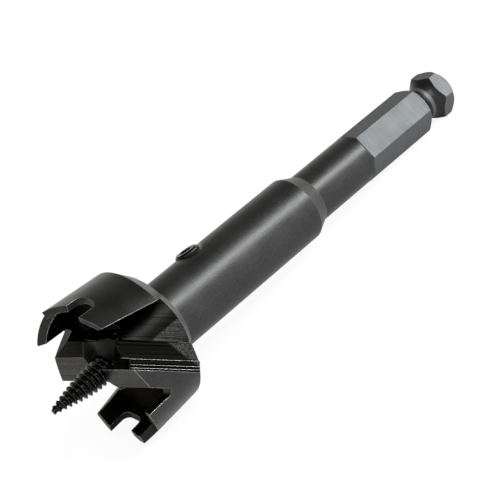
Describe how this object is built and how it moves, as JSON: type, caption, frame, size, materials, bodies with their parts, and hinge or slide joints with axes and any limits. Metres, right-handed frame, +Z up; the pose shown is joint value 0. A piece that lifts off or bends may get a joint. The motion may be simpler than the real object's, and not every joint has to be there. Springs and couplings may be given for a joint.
{
  "type": "self-feed wood bit",
  "caption": "Black self-feed wood boring bit with toothed rim wings, cutting lips, threaded feed screw and hex quick-change shank.",
  "frame": {"origin": "middle of the bounding box on the floor plane, with the bit lying as it comes to rest", "axes": "+Z up; +X along the bit towards its hex tail; +Y to the side"},
  "size_m": [0.1324, 0.0352, 0.0355],
  "materials": {
    "black_steel": "satin",
    "screw_steel": "gloss"
  },
  "bodies": {
    "root": {"bit_body": "black_steel", "feed_screw": "screw_steel", "set_screw": "screw_steel"}
  },
  "joints": []
}
